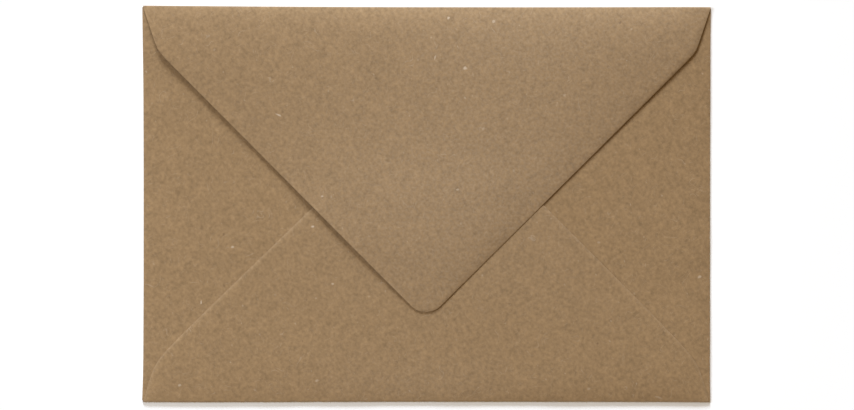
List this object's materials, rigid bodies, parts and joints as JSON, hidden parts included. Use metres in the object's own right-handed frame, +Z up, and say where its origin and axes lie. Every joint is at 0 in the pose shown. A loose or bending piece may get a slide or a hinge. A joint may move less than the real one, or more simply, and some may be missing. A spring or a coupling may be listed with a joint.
{
  "type": "paper envelope",
  "caption": "Kraft paper envelope with diagonal seams and a deep pointed flap, closed but not stuck down, for posting a folded card or letter.",
  "frame": {"origin": "under the middle of the envelope, on the surface that it lies on", "axes": "+X along the long side, to the right as the flap side is seen; +Y from the bottom fold to the top fold; +Z up, out of the flap side"},
  "size_m": [0.163, 0.1132, 0.0037],
  "materials": {
    "kraft_paper": "matte, uncoated, recycled brown with small light and dark flecks"
  },
  "bodies": {
    "root": {"envelope_sheet": "kraft_paper"}
  },
  "joints": []
}
